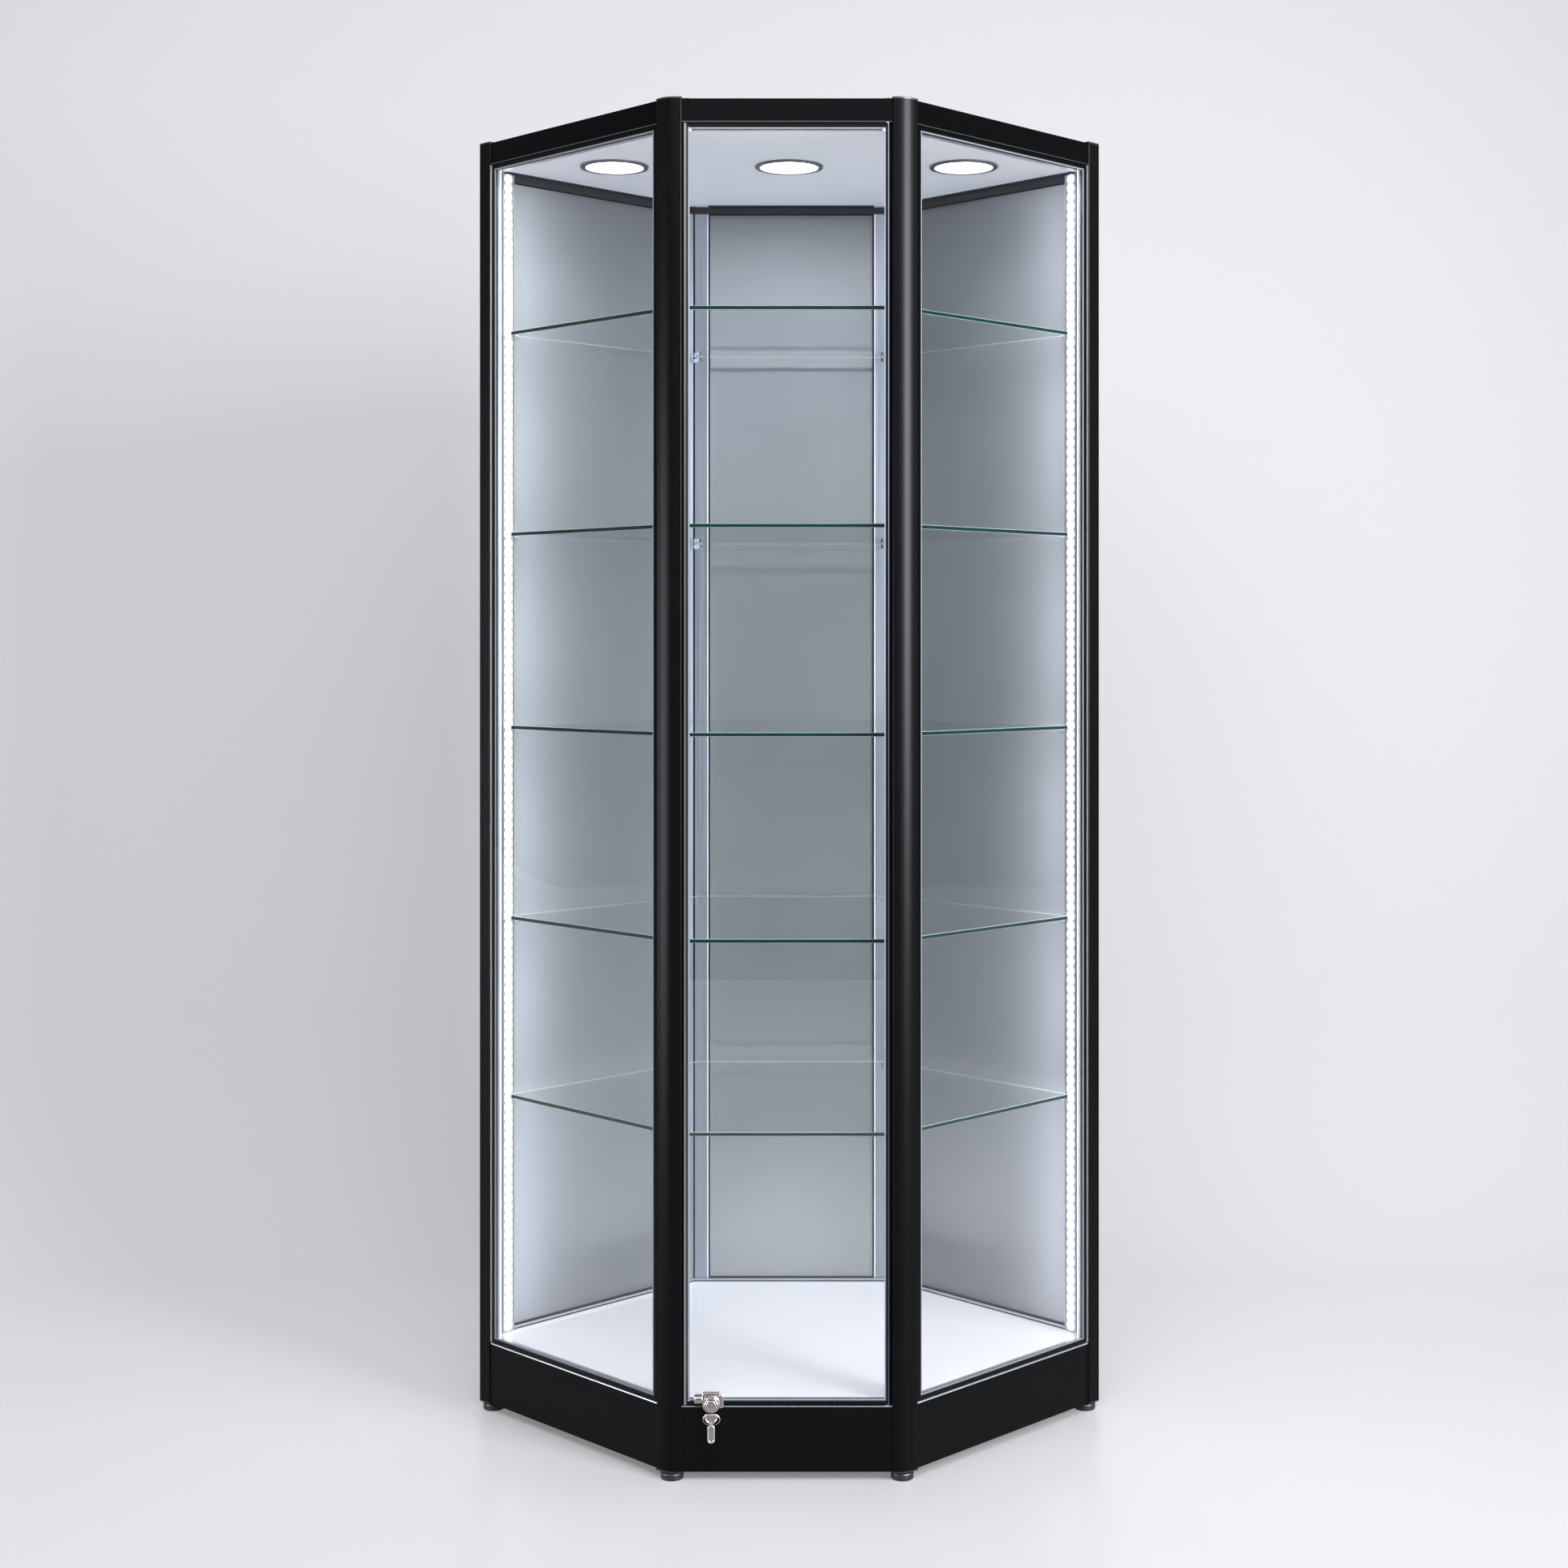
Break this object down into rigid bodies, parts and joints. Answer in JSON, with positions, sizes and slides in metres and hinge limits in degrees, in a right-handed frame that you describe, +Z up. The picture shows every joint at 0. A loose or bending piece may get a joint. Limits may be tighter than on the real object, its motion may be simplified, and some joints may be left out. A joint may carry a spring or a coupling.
{
  "type": "corner curio cabinet",
  "caption": "Tall six-sided corner display cabinet with black aluminium posts, a glass door, lit glass shelves, solid back panels and levelling feet.",
  "frame": {"origin": "centre of the footprint on the floor, midway between the front of the lock and the back of the cable gland", "axes": "+Z up, +Y from the door to the back, +X to the right when facing the door"},
  "size_m": [0.9696, 0.644, 1.98],
  "materials": {
    "black_coat": "satin powder coat",
    "grey_panel": "satin",
    "clear_glass": "polished",
    "frame_aluminium": "satin anodised",
    "gasket": "matt",
    "white_deck": "gloss",
    "white_ceiling": "satin",
    "led_white": "diffusing",
    "chrome": "polished",
    "nickel": "nickel plated",
    "pin_steel": "turned",
    "black_plastic": "moulded"
  },
  "bodies": {
    "cabinet": {"back_panel": "grey_panel", "back_panel_left": "grey_panel", "back_panel_right": "grey_panel", "bottom_rail_front": "black_coat", "bottom_rail_left": "black_coat", "bottom_rail_right": "black_coat", "bottom_rails_back": "black_coat", "cable_gland": "black_plastic", "ceiling_panel": "white_ceiling", "deck_panel": "white_deck", "downlight_bezels": "chrome", "downlight_housings": "frame_aluminium", "downlight_lenses": "led_white", "foot_plates": "black_coat", "glass_frame_left": "frame_aluminium", "glass_frame_right": "frame_aluminium", "glass_left": "clear_glass", "glass_right": "clear_glass", "glazing_gaskets": "gasket", "hinge_pins": "pin_steel", "kick_panel_front": "black_coat", "kick_panel_left": "black_coat", "kick_panel_right": "black_coat", "kick_panels_back": "black_coat", "led_channels": "frame_aluminium", "led_driver": "black_plastic", "led_tapes": "led_white", "post_back_left": "black_coat", "post_back_right": "black_coat", "post_caps": "black_coat", "post_front_left": "black_coat", "post_front_right": "black_coat", "post_side_left": "black_coat", "post_side_right": "black_coat", "roof_panel": "black_coat", "shelf_1": "clear_glass", "shelf_2": "clear_glass", "shelf_3": "clear_glass", "shelf_4": "clear_glass", "shelf_5": "clear_glass", "shelf_clips": "chrome", "top_rail_front": "black_coat", "top_rail_left": "black_coat", "top_rail_right": "black_coat", "top_rails_back": "black_coat"},
    "door": {"door_frame": "frame_aluminium", "door_glass": "clear_glass", "door_gasket": "gasket", "lock_body": "nickel", "lock_clamp": "nickel"},
    "lock_cylinder": {"lock_plug": "nickel", "lock_cam": "nickel"},
    "keys": {"key_ring": "nickel", "key": "nickel"},
    "leveller_front_left": {"foot_front_left": "black_plastic"},
    "leveller_front_right": {"foot_front_right": "black_plastic"},
    "leveller_side_right": {"foot_side_right": "black_plastic"},
    "leveller_back_right": {"foot_back_right": "black_plastic"},
    "leveller_back_left": {"foot_back_left": "black_plastic"},
    "leveller_side_left": {"foot_side_left": "black_plastic"}
  },
  "joints": [
    {"name": "door_hinge", "type": "hinge", "parent": "cabinet", "child": "door", "pos_m": [0.1435, -0.3075, 0.1096], "axis": [0, 0, 1], "range_deg": [0, 105]},
    {"name": "lock_turn", "type": "hinge", "parent": "door", "child": "lock_cylinder", "pos_m": [-0.1083, -0.318, 0.1123], "axis": [0, 1, 0], "range_deg": [0, 90]},
    {"name": "keys_swing", "type": "hinge", "parent": "door", "child": "keys", "pos_m": [-0.108, -0.3152, 0.098], "axis": [0, 1, 0], "range_deg": [-30, 30]},
    {"name": "leveller_front_left_screw", "type": "slide", "parent": "cabinet", "child": "leveller_front_left", "axis": [0, 0, -1], "range_m": [0, 0.01]},
    {"name": "leveller_front_right_screw", "type": "slide", "parent": "cabinet", "child": "leveller_front_right", "axis": [0, 0, -1], "range_m": [0, 0.01]},
    {"name": "leveller_side_right_screw", "type": "slide", "parent": "cabinet", "child": "leveller_side_right", "axis": [0, 0, -1], "range_m": [0, 0.01]},
    {"name": "leveller_back_right_screw", "type": "slide", "parent": "cabinet", "child": "leveller_back_right", "axis": [0, 0, -1], "range_m": [0, 0.01]},
    {"name": "leveller_back_left_screw", "type": "slide", "parent": "cabinet", "child": "leveller_back_left", "axis": [0, 0, -1], "range_m": [0, 0.01]},
    {"name": "leveller_side_left_screw", "type": "slide", "parent": "cabinet", "child": "leveller_side_left", "axis": [0, 0, -1], "range_m": [0, 0.01]}
  ]
}
